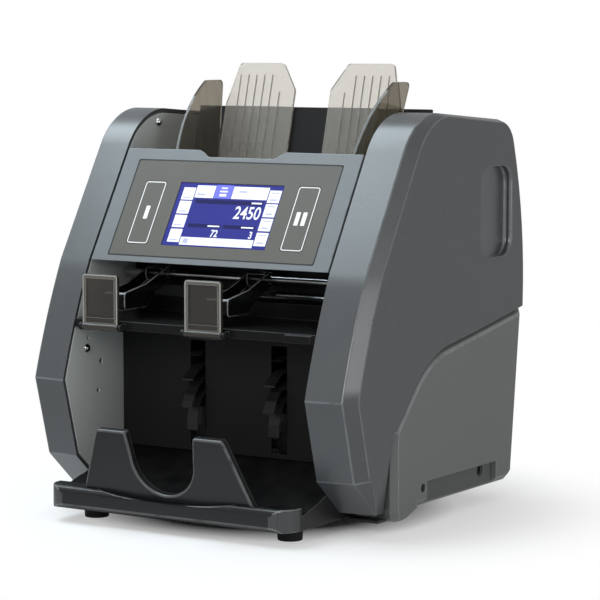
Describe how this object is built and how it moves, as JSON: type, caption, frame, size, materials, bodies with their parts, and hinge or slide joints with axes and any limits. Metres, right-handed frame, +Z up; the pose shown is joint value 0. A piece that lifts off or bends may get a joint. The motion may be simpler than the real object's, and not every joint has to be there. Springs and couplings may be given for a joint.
{
  "type": "banknote counter",
  "caption": "Table-top banknote counter with a guided top hopper, a sloping control panel, a reject pocket with folding stoppers and a stacker pocket.",
  "frame": {"origin": "centre of the box round the machine, on the table under its feet", "axes": "+X to the right seen from the front, +Y to the back, +Z up"},
  "size_m": [0.296, 0.3073, 0.3515],
  "materials": {
    "cover": "satin",
    "lower_cover": "satin",
    "panel": "satin",
    "overlay": "gloss",
    "screen": "gloss",
    "wall_plastic": "satin",
    "black_plastic": "satin",
    "gloss_black": "gloss",
    "smoked_clear": "clear",
    "clear_plate": "clear",
    "flap_clear": "clear",
    "steel": "brushed",
    "bright": "bright",
    "rubber": "matt",
    "bronze": "sintered",
    "alloy": "satin",
    "board": "laminate",
    "white_plastic": "satin",
    "lens": "clear"
  },
  "bodies": {
    "casing": {"base_plate": "black_plastic", "left_frame": "steel", "right_frame": "steel", "left_wall": "wall_plastic", "right_wall": "wall_plastic", "left_cover": "cover", "right_cover": "cover", "left_lower_cover": "lower_cover", "right_lower_cover": "lower_cover", "top_cover": "cover", "rear_panel": "wall_plastic", "fascia": "panel", "overlay": "overlay", "touchscreen": "screen", "control_board": "board", "hopper_floor": "black_plastic", "hopper_back": "black_plastic", "separator_roller": "rubber", "image_sensors": "gloss_black", "paper_guides": "steel", "reject_shelf": "black_plastic", "hinge_pins": "steel", "stacker_back": "black_plastic", "tray": "black_plastic", "stacker_stopper": "black_plastic", "feet": "rubber", "bearings": "bronze", "drive_motor": "alloy", "drive_belts": "rubber", "main_board": "board", "power_supply": "alloy", "power_inlet": "black_plastic", "pocket_sensors": "lens", "screws": "bright"},
    "left_guide": {"left_side_guide": "smoked_clear", "left_back_plate": "clear_plate", "left_guide_rack": "black_plastic"},
    "right_guide": {"right_side_guide": "smoked_clear", "right_back_plate": "clear_plate", "right_guide_rack": "black_plastic"},
    "pinion": {"guide_pinion": "white_plastic"},
    "start_key": {"start_key": "overlay"},
    "stop_key": {"stop_key": "overlay"},
    "left_stopper": {"left_stopper": "flap_clear"},
    "right_stopper": {"right_stopper": "flap_clear"},
    "left_hold_arm": {"left_hold_arm": "gloss_black"},
    "right_hold_arm": {"right_hold_arm": "gloss_black"},
    "lower_transport": {"lower_transport": "rubber"},
    "upper_transport": {"upper_transport": "rubber"},
    "feed": {"feed_shaft": "steel", "feed_rollers": "rubber"},
    "pickup": {"pickup_shaft": "steel", "pickup_rollers": "rubber"},
    "stacker": {"stacker_shaft": "steel", "stacker_wheels": "white_plastic"},
    "motor": {"motor_pulley": "alloy"},
    "diverter": {"diverter_gate": "black_plastic"},
    "rear_door": {"rear_door": "lower_cover"},
    "power_switch": {"power_switch": "gloss_black"}
  },
  "joints": [
    {"name": "left_guide_slide", "type": "slide", "parent": "casing", "child": "left_guide", "axis": [1, 0, 0], "range_m": [-0.01, 0.015]},
    {"name": "right_guide_slide", "type": "slide", "parent": "casing", "child": "right_guide", "axis": [1, 0, 0], "range_m": [-0.015, 0.01]},
    {"name": "guide_pinion_turn", "type": "hinge", "parent": "casing", "child": "pinion", "pos_m": [0, 0.06196, 0.28155], "axis": [0, -0.9659, 0.2588], "range_deg": [-71.62, 47.75]},
    {"name": "start_key_press", "type": "slide", "parent": "casing", "child": "start_key", "axis": [0, 0.8545, -0.5195], "range_m": [0, 0.0005], "stiffness_N_per_m": 2000},
    {"name": "stop_key_press", "type": "slide", "parent": "casing", "child": "stop_key", "axis": [0, 0.8545, -0.5195], "range_m": [0, 0.0005], "stiffness_N_per_m": 2000},
    {"name": "left_stopper_fold", "type": "hinge", "parent": "casing", "child": "left_stopper", "pos_m": [0, -0.1125, 0.1495], "axis": [1, 0, 0], "range_deg": [0, 80], "stiffness_Nm_per_rad": 0.01},
    {"name": "right_stopper_fold", "type": "hinge", "parent": "casing", "child": "right_stopper", "pos_m": [0, -0.1125, 0.1495], "axis": [1, 0, 0], "range_deg": [0, 80], "stiffness_Nm_per_rad": 0.01},
    {"name": "left_hold_arm_lift", "type": "hinge", "parent": "casing", "child": "left_hold_arm", "pos_m": [0, -0.04, 0.186], "axis": [-1, 0, 0], "range_deg": [0, 10]},
    {"name": "right_hold_arm_lift", "type": "hinge", "parent": "casing", "child": "right_hold_arm", "pos_m": [0, -0.04, 0.186], "axis": [-1, 0, 0], "range_deg": [0, 10]},
    {"name": "transport_turn", "type": "hinge", "parent": "casing", "child": "lower_transport", "pos_m": [0, 0.0617, 0.085], "axis": [1, 0, 0], "continuous": true},
    {"name": "upper_transport_turn", "type": "hinge", "parent": "casing", "child": "upper_transport", "pos_m": [0, 0.0617, 0.16], "axis": [1, 0, 0], "continuous": true},
    {"name": "feed_turn", "type": "hinge", "parent": "casing", "child": "feed", "pos_m": [0, 0.02353, 0.21034], "axis": [1, 0, 0], "continuous": true},
    {"name": "pickup_turn", "type": "hinge", "parent": "casing", "child": "pickup", "pos_m": [0, -0.00076, 0.23709], "axis": [1, 0, 0], "continuous": true},
    {"name": "stacker_turn", "type": "hinge", "parent": "casing", "child": "stacker", "pos_m": [0, -0.012, 0.092], "axis": [1, 0, 0], "continuous": true},
    {"name": "motor_turn", "type": "hinge", "parent": "casing", "child": "motor", "pos_m": [0, 0.1, 0.052], "axis": [1, 0, 0], "continuous": true},
    {"name": "diverter_swing", "type": "hinge", "parent": "casing", "child": "diverter", "pos_m": [0, 0.036, 0.152], "axis": [1, 0, 0], "range_deg": [0, 25], "stiffness_Nm_per_rad": 0.02},
    {"name": "rear_door_open", "type": "hinge", "parent": "casing", "child": "rear_door", "pos_m": [0, 0.151, 0.152], "axis": [-1, 0, 0], "range_deg": [0, 75]},
    {"name": "power_switch_rock", "type": "hinge", "parent": "casing", "child": "power_switch", "pos_m": [-0.034, 0.13718, 0.062], "axis": [-1, 0, 0], "range_deg": [0, 16]}
  ],
  "couplings": [
    {"joint": "right_guide_slide", "follows": "left_guide_slide", "ratio": -1},
    {"joint": "guide_pinion_turn", "follows": "left_guide_slide", "rad_per_m": -83.333},
    {"joint": "upper_transport_turn", "follows": "transport_turn", "ratio": 1},
    {"joint": "feed_turn", "follows": "transport_turn", "ratio": 1},
    {"joint": "pickup_turn", "follows": "transport_turn", "ratio": 1},
    {"joint": "stacker_turn", "follows": "transport_turn", "ratio": 0.7},
    {"joint": "motor_turn", "follows": "transport_turn", "ratio": 1.75}
  ]
}
